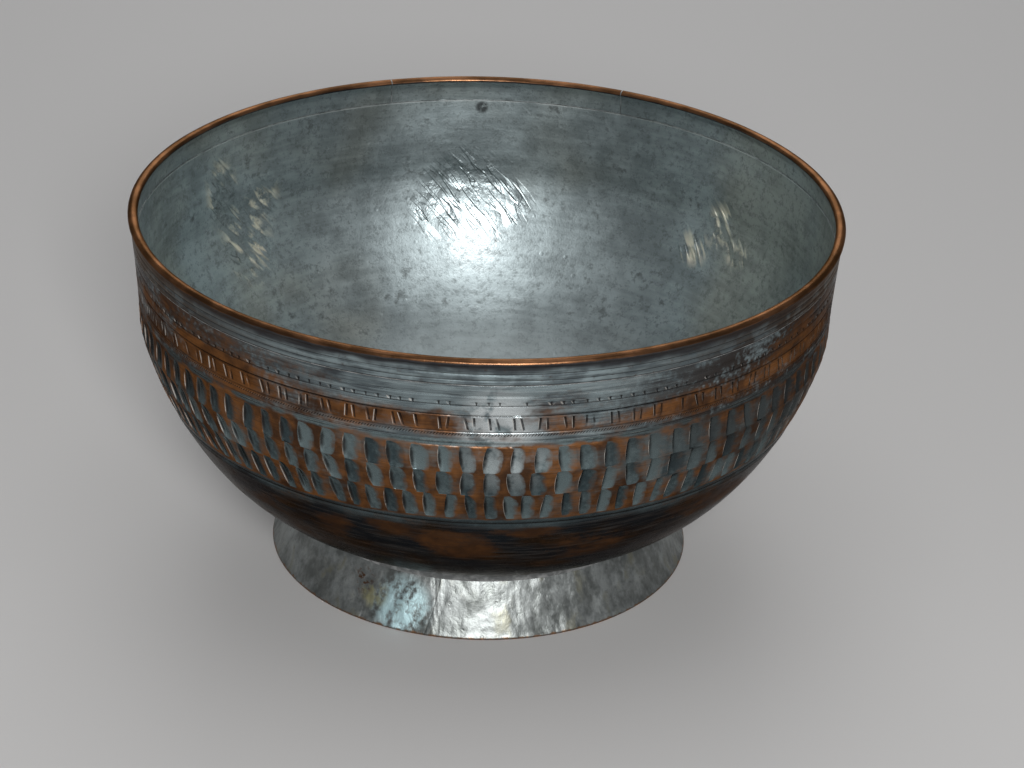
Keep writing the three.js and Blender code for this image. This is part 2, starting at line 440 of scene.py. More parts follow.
def shoulder_belt():
    """The groove under the borders, and the soft ridge that the first row's blows have pushed up."""
    draw = np.random.default_rng(24)
    heights = np.array([96.55, 97.2, 97.8, 98.25, 98.6, 99.1, 99.7])
    fixed = np.array([0.0, 0.05, 0.0, -0.1, -0.04, 0.26, 0.0])
    scoop = np.array([0.1, 0.42, 0.32, 0.04, 0, 0, 0])
    raised = np.array([0, 0, 0.1, 0.6, 0.1, 0, 0.2])
    tinned = np.array([0.3, 0.75, 0.95, 1.0, 0.8, 0.3, 0.0])

    def work(line, angle, depth, paints):
        edges = np.sort(draw.uniform(0, FULL_TURN, size=58))
        gaps = np.diff(np.concatenate([edges, [edges[0] + FULL_TURN]]))
        index = np.searchsorted(edges, angle[0], side="right") - 1
        index[index < 0] = len(edges) - 1
        share = ((angle[0] - edges[index]) % FULL_TURN) / gaps[index]
        swag = np.sin(np.pi * share_of(share)) * np.clip(gaps[index] * BORDER_RADIUS / 10, 0.2, 1)
        firm = 0.75 + 0.6 * wander(angle, 26, (7, 15, 29, 53))
        depth += fixed[:, None] * firm + scoop[:, None] * swag
        paints["sunk"] = share_of(share_of(fixed)[:, None] / DARK_LINE_DEPTH * firm)
        depth += 0.07 * wander(angle, 25, (9, 17, 31, 47))
        # Painted highlight along the ridge
        paints["burr"] = raised[:, None] * (0.3 + 0.7 * swag)
        paints["hollow"] = share_of(tinned[:, None] * (0.15 + 1.1 * swag))
        paints["shade"] = np.full_like(depth, 0.75)

    return belt("shoulder", wall_line(heights), COLUMNS_PER_MARK * MARKS_ROUND, work)


def hammered(line, angle, blows, size, deep, seed):
    """How far planishing blows have pushed each point in, for a belt's rings and columns."""
    draw = np.random.default_rng(seed)
    along = lengths_along(line)
    places = np.linspace(0, along[-1], 400)
    weight = np.cumsum(np.interp(places, along, line[:, 0]) + 2)
    at = np.interp(draw.uniform(0, weight[-1], blows), weight, places)
    centre_r = np.interp(at, along, line[:, 0])
    centre_z = np.interp(at, along, line[:, 1])
    turn = draw.uniform(0, FULL_TURN, blows)
    centres = points_at(centre_r, turn, centre_z)
    sizes = size * draw.uniform(0.7, 1.25, blows)
    force = deep * draw.uniform(0.5, 1.2, blows)
    depth = np.zeros_like(angle)
    for ring, (r, z) in enumerate(line):
        near = np.abs(np.hypot(centre_r - r, centre_z - z)) < size * 1.3
        if not near.any():
            continue
        points = points_at(r, angle[ring], np.full(angle.shape[1], z))
        distance = np.linalg.norm(points[:, None] - centres[near][None], axis=-1)
        dish = force[near] * np.clip(1 - (distance / sizes[near]) ** 2, 0, None)
        depth[ring] = dish.max(1)
    return depth


def hammered_belt(name, line, columns, blows, size, deep, seed):
    """A belt with planishing marks, which are weaker along its edges."""

    def work(line, angle, depth, paints):
        depth += hammered(line, angle, blows, size, deep, seed)
        depth[[0, -1]] *= 0.3

    return belt(name, line, columns, work)


def inside_belt():
    line = inside_line(44)

    def work(line, angle, depth, paints):
        depth += hammered(line, angle, blows=1700, size=6.0, deep=0.16, seed=31)
        depth[[0, -1]] = 0
        paints["inside"] = np.ones_like(depth)

    return belt("inside", line, PLAIN_COLUMNS, work)


def join_belts(belts):
    """One object out of all the belts, with each open edge marked by the joint it belongs to."""
    for index, piece in enumerate(belts):
        flat = flattened(points_of(piece))
        first, last = flat[flat[:, 1].argmin()], flat[flat[:, 1].argmax()]
        if piece.name.startswith("inside"):
            first, last = last, first
        bm = bmesh.new()
        bm.from_mesh(piece.data)
        open_edge = np.array([v.is_boundary for v in bm.verts])
        bm.free()
        at_last = np.linalg.norm(flat - first, axis=1) > np.linalg.norm(flat - last, axis=1)
        paint(piece, "belt_joint", np.where(open_edge, index + at_last, 0).astype(np.int32), "INT")
    select_only(*belts)
    bpy.ops.object.join()
    body = bpy.context.object
    bpy.ops.object.mode_set(mode="EDIT")
    for joint in range(1, len(belts)):
        bpy.ops.mesh.select_all(action="DESELECT")
        mesh = bmesh.from_edit_mesh(body.data)
        layer = mesh.verts.layers.int["belt_joint"]
        for edge in mesh.edges:
            if edge.is_boundary and all(vert[layer] == joint for vert in edge.verts):
                edge.select_set(True)
        bmesh.update_edit_mesh(body.data)
        bpy.ops.mesh.bridge_edge_loops()
    turn_normals_out()
    return body


def body_shell():
    """The body, built up in belts from the middle of its underside, up the outside and down the inside."""
    under_foot = underside_line(0, UNDER_FOOT_RADIUS, 9)
    lower = underside_line(UNDER_FOOT_RADIUS + 0.7, float(outer_radius(61.9)), 27)
    body = join_belts([
        hammered_belt("under_foot", under_foot, UNDER_FOOT_COLUMNS, blows=260, size=6.0, deep=0.12, seed=41),
        hammered_belt("lower_body", lower, PLAIN_COLUMNS, blows=900, size=6.5, deep=0.08, seed=42),
        plain_belt("lower_lines", (62.1, 64.0, 66.6, 67.6), [(62.8, 0.7, -0.1), (65.2, 1.2, 0.4)]),
        chased_row("row_low"),
        chased_row("row_middle"),
        chased_row("row_high"),
        shoulder_belt(),
        rope_belt(),
        ticked_belt(),
        plain_belt("plain_border", (108.4, 109.5, 110.6), [(107.6, 0.7, 0.34)]),
        dotted_belt(),
        plain_belt("upper_border", (113.1, 113.8, 116.2, 117.6, RIM_JOINT_HEIGHT), [(114.7, 0.5, 0.16)]),
        inside_belt(),
    ])
    body.name = body.data.name = "bowl_body"
    return body


# What the body is painted with, for its finish to read

# Copper showing through the tin outside: angle, height, half width in degrees, half height, strength
WORN_PATCHES = (
    (-34, 104.5, 30, 7, 0.34),
    (-7, 104, 5, 5, 0.2),
    (42, 104, 31, 4.6, 0.34),
    (12.5, 104.5, 4, 4.5, 0.25),
    (-75, 104, 18, 9, 0.25),
    (-50, 114, 26, 7, 0.3),
    (62, 113, 20, 7, 0.24),
    (46, 84, 27, 17, -0.26),
    (-4, 54, 8, 8, 0.46),
    (-16, 60, 5, 3, 0.34),
    (-26, 56, 4, 6, 0.3),
    (8, 61, 8, 3, 0.34),
    (20, 51, 9, 8, 0.26),
    (-45, 55, 9, 6, 0.24),
    (48, 56, 12, 6, 0.22),
    (120, 55, 16, 8, 0.3),
    (-140, 58, 20, 7, 0.3),
    (165, 103, 30, 5, 0.36),
    (-120, 105, 22, 6, 0.36),
)
# Brown film over the tin outside, the same way; the two patches on the flanks are painted shade as well,
# darkening the sides
FILM_AND_SHADE_PATCHES = (
    (-64, 108, 38, 24, 0.9),
    (60, 104, 42, 30, 1),
    (150, 112, 26, 14, 0.5),
    (-130, 112, 22, 14, 0.5),
)
# Slanting strokes inside, the reverse of the chased rows: angle, height, half width in degrees, half height
HATCHED_PATCHES = (
    (184, 85, 8, 15),
    (177, 77, 6, 10),
    (190, 77, 5, 10),
)
# Dents inside with painted glints on them, the same way
DENTS_WITH_GLINTS = (
    (231, 78, 6, 13),
    (226, 92, 4, 8),
    (236, 100, 4, 12),
    (131, 88, 4, 9),
    (137, 76, 4, 6),
    (126, 80, 3, 5),
)


def patch(angle, height, patches):
    """Soft-edged patches, added up."""
    total = np.zeros_like(angle)
    for at, level, half_width, half_height, *strength in patches:
        turn = (np.degrees(angle) - at + 180) % 360 - 180
        away = np.hypot(turn / half_width, (height - level) / half_height)
        total = total + (strength[0] if strength else 1.0) * (1 - step(away, 0.55, 1.25))
    return total


def paint_patches(piece, name, patches):
    points = points_of(piece)
    paint(piece, name, share_of(patch(around(points), points[:, 2], patches)))


def paint_body(body):
    points = points_of(body)
    angle, height = around(points), points[:, 2]
    rows = step(height, 66, 67.5) * (1 - step(height, 97.0, 99.0))
    border = step(height, 97.0, 99.0) * (1 - step(height, 109.5, 112.0))
    below = 1 - step(height, 65.5, 67)
    above = step(height, 109.5, 112.0)
    worn = 0.64 * rows + 0.28 * border + 0.2 * below + 0.12 * above + patch(angle, height, WORN_PATCHES)
    paint(body, "worn", np.clip(worn, 0, 1.2))
    paint_patches(body, "film_and_flank_shade", FILM_AND_SHADE_PATCHES)
    paint_patches(body, "hatched", HATCHED_PATCHES + DENTS_WITH_GLINTS)
    paint_patches(body, "dents_and_glints", DENTS_WITH_GLINTS)


def finish_inside(body):
    """Gives the body's inside its second finish."""
    mesh = body.data
    inside = np.zeros(len(mesh.vertices))
    mesh.attributes["inside"].data.foreach_get("value", inside)
    loops = np.zeros(len(mesh.loops), dtype=np.int32)
    mesh.loops.foreach_get("vertex_index", loops)
    starts = np.zeros(len(mesh.polygons), dtype=np.int32)
    mesh.polygons.foreach_get("loop_start", starts)
    slots = (np.minimum.reduceat(inside[loops], starts) > 0.5).astype(np.int32)
    mesh.polygons.foreach_set("material_index", slots)


# Rim

BAND_INNER_RADIUS = float(outer_radius(RIM_JOINT_HEIGHT)) - WALL + 0.2
NECK_LINES = ((120.2, 0.6, 0.22), (122.4, 0.6, 0.22))
LIP_FLAT = 0.25


def band_section(inset=0.0):
    """Cross-section of the rim band: up the outside, over the rounded lip and down the inside.
    An inset below 0 makes it that much larger all round."""
    heights, depths = lined((RIM_JOINT_HEIGHT + BRAZE_GAP, 119.2, 121.3, 123.7, 124.7), NECK_LINES)
    outside = [(outer_radius(z) - depth, z) for z, depth in zip(heights, depths)]
    lip_centre = RIM_RADIUS - LIP_WIDTH / 2
    lip = [(119.62, 125.1)]
    for turn in np.radians(np.linspace(-14, 194, 13)):
        up = (LIP_HEIGHT - LIP_FLAT) * math.sin(turn)
        lip.append((lip_centre + LIP_WIDTH / 2 * math.cos(turn), LIP_UNDERSIDE + LIP_FLAT + up))
    inside = [(116.98, 124.75), (117.28, 124.0), (BAND_INNER_RADIUS, 123.0), (BAND_INNER_RADIUS, 121.2)]
    inside += [(BAND_INNER_RADIUS, 119.6), (BAND_INNER_RADIUS, RIM_JOINT_HEIGHT + BRAZE_GAP)]
    section = np.array(outside + lip + inside)
    if inset:
        middle = section.mean(0)
        away = section - middle
        section = middle + away * (1 - inset / np.maximum(np.hypot(away[:, 0], away[:, 1])[:, None], 0.5))
    return section


def close_ends():
    """Fills the two open ends of a ring that stops short of a full turn."""
    bpy.ops.object.mode_set(mode="EDIT")
    bpy.ops.mesh.select_all(action="DESELECT")
    bpy.ops.mesh.select_mode(type="EDGE")
    bpy.ops.mesh.select_non_manifold(extend=False)
    bpy.ops.mesh.fill_holes(sides=0)
    bpy.ops.mesh.select_mode(type="VERT")
    turn_normals_out()


def ring_section(name, section, columns, start=0.0, sweep=360.0):
    """A closed ring, or a length of one, of this cross-section."""
    piece = spun_line(name, np.concatenate([section, section[:1]]), columns, start, sweep)
    bpy.ops.object.mode_set(mode="EDIT")
    turn_normals_out()
    if sweep < 360:
        close_ends()
    return piece


def worked_by_hand(piece, seed, up, out):
    """The small unevenness of a filed and planished lip, which fades out towards the joint below."""
    points = points_of(piece)
    angle = around(points)
    share = step(points[:, 2], RIM_JOINT_HEIGHT + 1, LIP_UNDERSIDE)
    lift = up * share * wander(angle, seed, (3, 7, 12, 19, 31))
    push = out * share * wander(angle, seed + 1, (2, 5, 9, 17, 29, 41))
    points[:, :2] *= (1 + push / from_axis(points))[:, None]
    points[:, 2] += np.minimum(lift, 0)
    move_points(piece, points)


def finish_band_inside(piece):
    """Gives the inner face of a rim band its second finish."""
    reach = BAND_INNER_RADIUS + 0.1
    for face in piece.data.polygons:
        inner = math.hypot(face.center.x, face.center.y) / MM < reach
        face.material_index = int(inner and face.center.z / MM < LIP_UNDERSIDE - 0.1)


def rim_bands():
    first, last = RIM_SEAMS
    half_gap = math.degrees(BRAZE_GAP / 2 / RIM_RADIUS)
    section = band_section()
    long_sweep = 360 - (last - first) - 2 * half_gap
    short_sweep = last - first - 2 * half_gap
    long = ring_section("rim_band_front", section, 360, last + half_gap, long_sweep)
    short = ring_section("rim_band_back", section, 48, first + half_gap, short_sweep)
    lines = np.array([RIM_JOINT_HEIGHT + BRAZE_GAP, *(line[0] for line in NECK_LINES)])
    for piece in (long, short):
        away = np.abs(points_of(piece)[:, 2:] - lines).min(1)
        paint(piece, "sunk", 1 - step(away, 0.0, 0.3))
        paint_patches(piece, "film_and_flank_shade", FILM_AND_SHADE_PATCHES)
    worked_by_hand(long, 51, up=0.14, out=0.1)
    worked_by_hand(short, 53, up=0.22, out=0.16)
    return long, short


def rim_braze():
    """The run of braze in the joint under the rim band, and in the seams at the ends of its two lengths."""
    low, high = RIM_JOINT_HEIGHT - 0.02, RIM_JOINT_HEIGHT + BRAZE_GAP + 0.02
    outer = float(outer_radius(RIM_JOINT_HEIGHT)) - 0.06
    inner = BAND_INNER_RADIUS - 0.12
    section = np.array([(inner, low), (outer, low), (outer + 0.02, high), (inner, high)])
    runs = [ring_section("rim_braze", section, PLAIN_COLUMNS)]
    width = math.degrees((BRAZE_GAP + 0.1) / RIM_RADIUS)
    for side, turn in zip(("right", "left"), RIM_SEAMS):
        runs.append(ring_section(f"rim_seam_{side}", band_section(-0.05), 2, turn - width / 2, width))
    return runs


# Foot

FOOT_COLUMNS = 400
SOLDER_COLUMNS = 240
FOOT_TOP_HEIGHT = float(underside_at(FOOT_TOP_RADIUS)) - SOLDER_GAP
# Lap of the foot's strip: its step, the columns gathered on each side of it, and its place in degrees
LAP_STEP = 0.3
LAP_REACH = 14
LAP_HOME = -12.5


def foot_radius(height):
    share = np.asarray(height, float) / FOOT_TOP_HEIGHT
    return FOOT_BOTTOM_RADIUS + share * (FOOT_TOP_RADIUS - FOOT_BOTTOM_RADIUS)


def lap_angle(height):
    """Where the end of the foot's strip laps over its start, in degrees."""
    return -10.6 - 3.2 * (1 - share_of(height / FOOT_TOP_HEIGHT)) ** 1.6


def foot_ring():
    """A flared strip, planished, with its ends lapped and its lower edge worn round."""
    rise = np.array([0.35, 0.9, 1.8, 3.2, 4.8, 6.4, 8.0, 9.6, 11.2, 12.8, 14.4, 16.0, 17.6, 19.2, 20.4])
    inner_top = FOOT_TOP_RADIUS - FOOT_WALL
    section = np.array([
        (FOOT_BOTTOM_RADIUS - 0.45, 0),
        *((foot_radius(z), z) for z in rise),
        (FOOT_TOP_RADIUS, FOOT_TOP_HEIGHT),
        (inner_top, underside_at(inner_top) - SOLDER_GAP),
        *((foot_radius(z) - FOOT_WALL, z) for z in (16, 11, 6, 2, 0.4)),
        (FOOT_BOTTOM_RADIUS - FOOT_WALL + 0.3, 0),
    ])
    piece = ring_section("foot_band", section, FOOT_COLUMNS)
    points = points_of(piece)
    angle, radius, height = around(points), from_axis(points), points[:, 2]
    column = np.rint(angle / FULL_TURN * FOOT_COLUMNS)
    lap = np.radians(lap_angle(height))
    home = np.rint(math.radians(LAP_HOME) / FULL_TURN * FOOT_COLUMNS)
    pitch = FULL_TURN / FOOT_COLUMNS
    beside = (column - home) / LAP_REACH
    gathered = lap + np.sign(beside) * np.abs(beside) ** 2.2 * LAP_REACH * pitch
    settle = step(np.abs(beside), 0.6, 1.0)
    angle = np.where(np.abs(beside) < 1, gathered * (1 - settle) + angle * settle, angle)
    outer = radius > foot_radius(height) - FOOT_WALL / 2
    lapped = np.where(column > home, LAP_STEP * (1 - step(column, home + 1, home + 26)), 0)
    lapped = lapped * step(height, -0.5, 2.0)
    line = np.stack([foot_radius(rise), rise], 1)
    every = np.tile(np.linspace(0, FULL_TURN, FOOT_COLUMNS, endpoint=False), (len(rise), 1))
    blows = hammered(line, every, blows=300, size=7.5, deep=0.42, seed=61)
    ring = np.argmin(np.abs(height[:, None] - rise[None]), 1)
    dent = blows[ring, column.astype(int) % FOOT_COLUMNS] * outer
    dent = dent * step(height, 0.2, 1.5) * (1 - step(height, 19, 21))
    sway = 0.25 * wander(angle, 62, (2, 3, 5, 9)) * step(height, 0, 6) * (1 - step(height, 15, 21))
    radius = radius + np.where(outer, lapped - dent, 0) + sway
    move_points(piece, points_at(radius, angle, height))
    return piece


def solder_fillet(name, side, seed):
    """Solder run into the corner between the foot and the underside; side is 1 outside and -1 inside."""
    thickness = 0 if side > 0 else FOOT_WALL
    corner_radius = FOOT_TOP_RADIUS - thickness + side * SOLDER_GAP
    corner = np.array([corner_radius, underside_at(corner_radius) - SOLDER_GAP])
    low = corner[1] - SOLDER_LEG
    foot_end = np.array([foot_radius(low) - thickness + side * SOLDER_GAP * 0.4, low])
    out = corner_radius + side * SOLDER_LEG
    body_end = np.array([out, underside_at(out) - SOLDER_GAP * 0.4])
    pull = corner * 0.55 + (foot_end + body_end) * 0.225
    shares = np.linspace(0, 1, 7)[:, None]
    face = (1 - shares) ** 2 * foot_end + 2 * shares * (1 - shares) * pull + shares ** 2 * body_end
    section = np.concatenate([face, corner[None]])
    piece = ring_section(name, section, SOLDER_COLUMNS)
    points = points_of(piece)
    angle = around(points)
    away = np.linalg.norm(flattened(points)[:, None] - section[None, 1:6], axis=-1).min(1)
    lump = 0.18 * wander(angle, seed, (5, 11, 17, 29, 43)) * (away < 0.05)
    move_points(piece, points_at(from_axis(points) + side * lump, angle, points[:, 2] - lump * 0.5))
    return piece


# Finishes

class Finish:
    """One metal finish: its shader, and the nodes that lead to it."""

    def __init__(self, name, **sockets):
        self.material = bpy.data.materials.new(name)
        self.material.use_nodes = True
        self.tree = self.material.node_tree
        self.shader = self.tree.nodes["Principled BSDF"]
        self.shader.inputs["Metallic"].default_value = 1.0
        for socket, value in sockets.items():
            self.shader.inputs[socket.replace("_", " ")].default_value = value
        self.place = self.tree.nodes.new("ShaderNodeTexCoord").outputs["Object"]

    def node(self, kind, inputs, **settings):
        """Adds a node, and gives its outputs."""
        node = self.tree.nodes.new("ShaderNode" + kind)
        for name, value in settings.items():
            setattr(node, name, value)
        for socket, value in inputs.items():
            if isinstance(value, bpy.types.NodeSocket):
                self.tree.links.new(value, node.inputs[socket])
            else:
                node.inputs[socket].default_value = value
        return node.outputs

    def painted(self, name):
        return self.node("Attribute", {}, attribute_name=name)["Fac"]

    def scaled(self, size, stretch=(1, 1, 1), vector=None):
        """Coordinates for features of this size in millimetres, longer where stretch is above 1."""
        scale = tuple(1000 / size / part for part in stretch)
        return self.node("Mapping", {"Vector": vector or self.place, "Scale": scale})["Vector"]

    def noise(self, size, detail=3.0, rough=0.55, stretch=(1, 1, 1), twist=0.0, vector=None):
        at = self.scaled(size, stretch, vector)
        inputs = {"Vector": at, "Scale": 1.0, "Detail": detail, "Roughness": rough, "Distortion": twist}
        return self.node("TexNoise", inputs)["Fac"]

    def cells(self, *scaling):
        """Flat-sided cells with sharp ridges between them: the distance from each middle, and a colour."""
        inputs = {"Vector": self.scaled(*scaling), "Scale": 1.0}
        return self.node("TexVoronoi", inputs, feature="F1")

    def pits(self, size, share):
        """Scattered round pits, 1 at their middle."""
        cells = self.cells(size)
        dip = self.band(cells["Distance"], 0.34, 0.1)
        chance = self.node("SeparateColor", {"Color": cells["Color"]})["Red"]
        return self.times(dip, self.band(chance, 1 - share, 1 - share + 0.03))

    def band(self, value, low, high):
        """0 at low and 1 at high."""
        inputs = {"Value": value, "From Min": low, "From Max": high}
        return self.node("MapRange", inputs, interpolation_type="SMOOTHSTEP")["Result"]

    def maths(self, operation, first, second=0.0, clamp=False):
        return self.node("Math", {0: first, 1: second}, operation=operation, use_clamp=clamp)[0]

    def plus(self, first, second):
        return self.maths("ADD", first, second)

    def times(self, first, second):
        return self.maths("MULTIPLY", first, second)

    def sum_of(self, *parts):
        """The sum of values, each times its share."""
        return reduce(self.plus, [self.times(value, share) for value, share in parts])

    def without(self, value, taken):
        """value, less where taken is 1."""
        return self.times(value, self.maths("SUBTRACT", 1.0, taken, True))

    def sway(self, value, amount):
        """The value about its middle, times an amount."""
        return self.times(self.maths("SUBTRACT", value, 0.5), amount)

    def mix(self, share, first, second):
        def colour(value):
            return value if isinstance(value, bpy.types.NodeSocket) else (*value, 1.0)

        inputs = {0: share, 6: colour(first), 7: colour(second)}
        return self.node("Mix", inputs, data_type="RGBA")[2]

    def over(self, colour, value, low, high, share, tint):
        """The colour, with this share of a tint laid on it where the value comes to high."""
        return self.mix(self.times(self.band(value, low, high), share), colour, tint)

    def mix_number(self, share, first, second):
        return self.node("Mix", {0: share, 2: first, 3: second}, data_type="FLOAT")[0]

    def height_at(self):
        return self.node("SeparateXYZ", {"Vector": self.place})["Z"]

    def spot(self, centre, near, far):
        """1 within near millimetres of a point on the bowl and 0 beyond far."""
        inputs = {0: self.place, 1: tuple(value * MM for value in centre)}
        distance = self.node("VectorMath", inputs, operation="DISTANCE")["Value"]
        return self.band(distance, far * MM, near * MM)

    def finish(self, colour, roughness, relief, coated=False):
        """relief is a list of (height from 0 to 1, depth in millimetres, strength)."""
        normal = None
        for height, depth, strength in relief:
            inputs = {"Height": height, "Distance": depth * MM, "Strength": strength}
            if normal:
                inputs["Normal"] = normal
            normal = self.node("Bump", inputs)["Normal"]
        led = {"Base Color": colour, "Roughness": roughness, "Normal": normal}
        if coated:
            led["Coat Normal"] = normal
        for socket, value in led.items():
            self.tree.links.new(value, self.shader.inputs[socket])
        return self.material


TIN_LIGHT = (0.33, 0.405, 0.425)
TIN_DULL = (0.135, 0.166, 0.18)
TIN_DARK = (0.055, 0.062, 0.07)
COPPER = (0.27, 0.118, 0.044)
COPPER_DULL = (0.08, 0.042, 0.025)
# Dirt and painted shade in lines, strokes and hollows
DIRT_AND_SHADE = (0.022, 0.02, 0.019)
# Light worn metal on raised edges, and painted highlight lines along them
WORN_EDGE_AND_HIGHLIGHT = (0.86, 0.82, 0.76)
# Brown film, and painted shade on the flanks
FILM_AND_SHADE = (0.062, 0.055, 0.052)
INSIDE_FLECK = (0.09, 0.1, 0.098)

# Heights between which a finish changes, in metres
LOW_BODY = (0.067, 0.061)
CHASED_BODY = (0.0985, 0.0965)
BOTTOM_INSIDE = (0.05, 0.024)
LIP_EDGE = (0.1258, 0.1263)
UNDER_LIP = (0.1222, 0.1245)
FOOT_EDGE = (0.001, 0.0003)

# Spots: the middle, how far it is full, and where it ends
TINNED_SPOT = ((5.0, -117.8, 106.0), 3.0, 8.0)
# Painted highlight on the borders at the front
FRIEZE_HIGHLIGHT_SPOT = ((5.0, -117.8, 104.0), 5.0, 17.0)
# Painted highlight in the hollows of the top row at the front
HOLLOWS_HIGHLIGHT_SPOT = ((8.0, -116.5, 94.0), 5.0, 20.0)
STAIN_SPOT = ((-3.1, 117.2, 115.6), 1.4, 3.0)
# Blue tint on the foot's tin, lightened further as a painted highlight
BLUE_AND_HIGHLIGHT_SPOT = ((-26.0, -66.0, 8.0), 6.0, 13.0)
YELLOW_SPOT = ((-34.5, -59.5, 9.0), 2.5, 6.5)
BARE_SPOT = ((-38.5, -55.5, 12.0), 1.5, 6.5)


def outside_finish():
    """Tin worn through to the copper, with dark dirt and painted shade in the lines and hollows."""
    f = Finish("outside_worn_tin", Specular_Tint=(0.45, 0.43, 0.42, 1))
    broad, middle, small, grain = f.noise(22, 4), f.noise(6, 4), f.noise(1.6, 3), f.noise(0.45, 2)
    drawn_out = f.noise(9, 4, 0.6, stretch=(2.6, 2.6, 1))
    streaks = f.noise(1.2, 3, stretch=(14, 14, 1))
    scratches = f.noise(0.5, 2, 0.5, stretch=(30, 30, 1))
    hollow = f.plus(f.painted("hollow"), f.plus(f.sway(small, 0.5), f.sway(middle, 1.0)))
    hollow = f.band(hollow, 0.22, 0.82)
    worn = f.plus(f.painted("worn"), f.plus(f.sway(broad, 0.7), f.sway(drawn_out, 1.1)))
    worn = f.band(f.plus(worn, f.sway(f.plus(streaks, small), 0.3)), 0.36, 0.84)
    worn = f.without(worn, hollow)
    worn = f.without(worn, f.spot(*TINNED_SPOT))
    shade = f.sum_of((f.painted("shade"), 0.5), (middle, 0.6))
    flat_tin = f.mix(f.band(f.sum_of((broad, 0.6), (streaks, 0.4)), 0.36, 0.64), TIN_DULL, TIN_LIGHT)
    flat_tin = f.over(flat_tin, drawn_out, 0.5, 0.7, 0.85, TIN_DARK)
    flat_tin = f.over(flat_tin, scratches, 0.56, 0.66, 0.45, TIN_DARK)
    flat_tin = f.over(flat_tin, scratches, 0.42, 0.34, 0.4, (0.5, 0.56, 0.57))
    # Painted highlight: light tin on the borders at the front
    painted_frieze_highlight = f.times(f.spot(*FRIEZE_HIGHLIGHT_SPOT), f.band(middle, 0.34, 0.5))
    flat_tin = f.mix(painted_frieze_highlight, flat_tin, (0.66, 0.71, 0.72))
    # Brown film, and painted shade on the flanks
    film_and_flank_shade = f.times(f.painted("film_and_flank_shade"), f.band(f.sum_of((drawn_out, 0.6), (small, 0.4)), 0.35, 0.52))
    flat_tin = f.mix(film_and_flank_shade, flat_tin, FILM_AND_SHADE)
    sunk_tone = f.band(f.plus(shade, f.sway(small, 0.5)), 0.25, 0.8)
    sunk_tin = f.mix(sunk_tone, (0.05, 0.072, 0.08), (0.185, 0.24, 0.25))
    # Painted highlight in the hollows of the top row at the front
    painted_hollows_highlight = f.times(f.spot(*HOLLOWS_HIGHLIGHT_SPOT), f.band(middle, 0.36, 0.54))
    sunk_tin = f.mix(f.times(painted_hollows_highlight, 0.8), sunk_tin, (0.42, 0.47, 0.48))
    # Painted shade in the hollows on the flanks
    sunk_tin = f.mix(f.times(f.painted("film_and_flank_shade"), 0.75), sunk_tin, (0.046, 0.046, 0.046))
    # Darker lower body: dark tarnish, and painted shade on the underside
    low = f.band(f.plus(f.height_at(), f.sway(broad, 0.012)), *LOW_BODY)
    low_tin_and_shade = f.mix(f.band(drawn_out, 0.4, 0.62), (0.026, 0.031, 0.036), (0.038, 0.027, 0.02))
    low_tin_and_shade = f.over(low_tin_and_shade, streaks, 0.5, 0.66, 0.6, (0.075, 0.072, 0.07))
    low_tin_and_shade = f.over(low_tin_and_shade, scratches, 0.54, 0.66, 0.5, (0.12, 0.115, 0.11))
    flat_tin = f.over(flat_tin, f.height_at(), *CHASED_BODY, 0.8, sunk_tin)
    flat_tin = f.mix(low, flat_tin, low_tin_and_shade)
    tin = f.mix(hollow, flat_tin, sunk_tin)
    copper = f.mix(f.band(f.sum_of((broad, 0.5), (middle, 0.5)), 0.4, 0.62), COPPER, COPPER_DULL)
    # Duller copper on the lower body: patina and painted shade
    copper = f.mix(f.times(low, 0.6), copper, COPPER_DULL)
    copper = f.over(copper, scratches, 0.5, 0.7, 0.5, COPPER_DULL)
    colour = f.mix(worn, tin, copper)
    # Dirt and painted shade, darkest where the metal is sunk deepest
    colour = f.over(colour, f.plus(f.painted("sunk"), f.sway(small, 0.4)), 0.35, 0.85, 0.9, DIRT_AND_SHADE)
    # Raised edges: light worn metal and painted highlight lines
    edge = f.band(f.plus(f.painted("burr"), f.sway(small, 0.4)), 0.4, 0.85)
    colour = f.mix(f.times(edge, 0.7), colour, WORN_EDGE_AND_HIGHLIGHT)
    roughness = f.mix_number(worn, 0.2, 0.38)
    roughness = f.mix_number(edge, roughness, 0.25)
    roughness = f.plus(roughness, f.sway(f.plus(middle, grain), 0.12))
    relief = [(grain, 0.025, 0.5), (streaks, 0.05, 0.4), (scratches, 0.03, 0.4), (small, 0.12, 0.4)]
    relief += [(middle, 0.15, 0.5), (f.pits(2.4, 0.12), -0.1, 0.4)]
    return f.finish(colour, roughness, relief)


